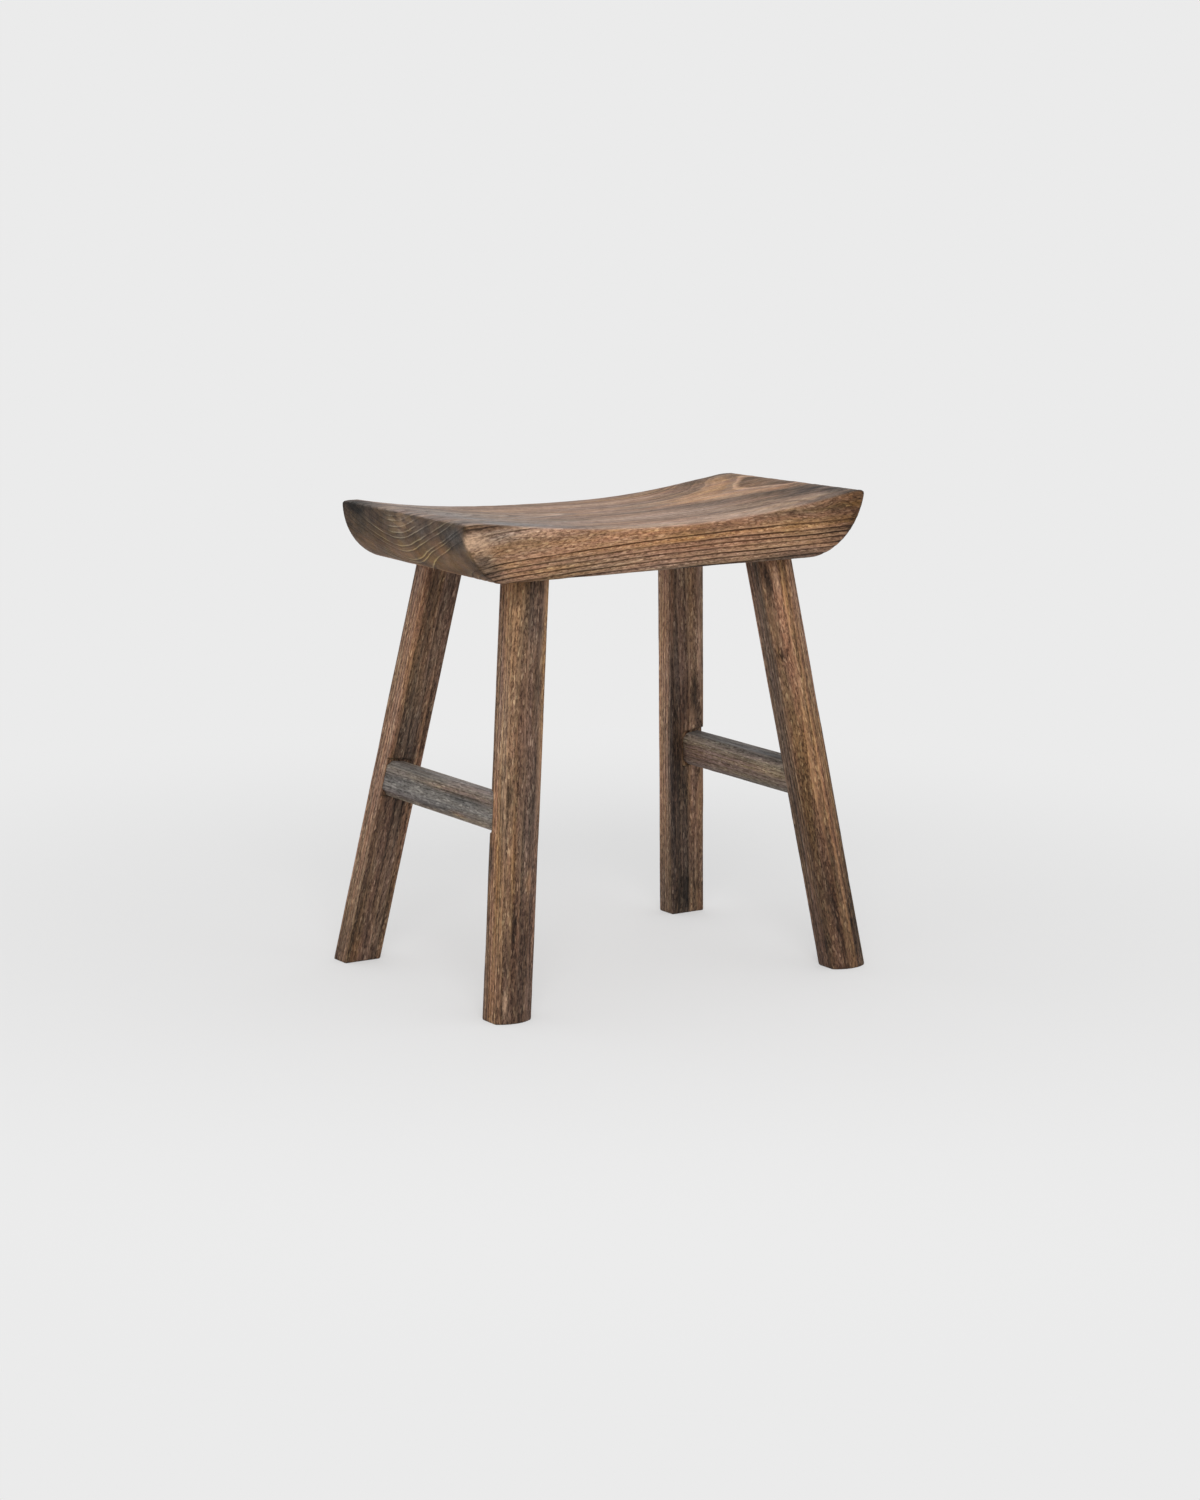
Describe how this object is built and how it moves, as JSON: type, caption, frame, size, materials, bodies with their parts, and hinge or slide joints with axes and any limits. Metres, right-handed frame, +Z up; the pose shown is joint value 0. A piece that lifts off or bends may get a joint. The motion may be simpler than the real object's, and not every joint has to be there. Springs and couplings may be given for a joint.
{
  "type": "saddle stool",
  "caption": "Wooden saddle stool with a dished seat block, splayed tenoned legs and a housed stretcher between the legs of each end.",
  "frame": {"origin": "on the floor, under the middle of the seat", "axes": "+X along the seat to the higher right end, +Y from front to back, +Z up; the stool stands on the floor as in use"},
  "size_m": [0.4521, 0.2974, 0.4552],
  "materials": {
    "seat_wood": "matte",
    "leg_wood": "matte",
    "stretcher_wood": "matte"
  },
  "bodies": {
    "root": {"seat": "seat_wood", "leg_front_left": "leg_wood", "leg_front_right": "leg_wood", "leg_back_left": "leg_wood", "leg_back_right": "leg_wood", "stretcher_left": "stretcher_wood", "stretcher_right": "stretcher_wood"}
  },
  "joints": []
}
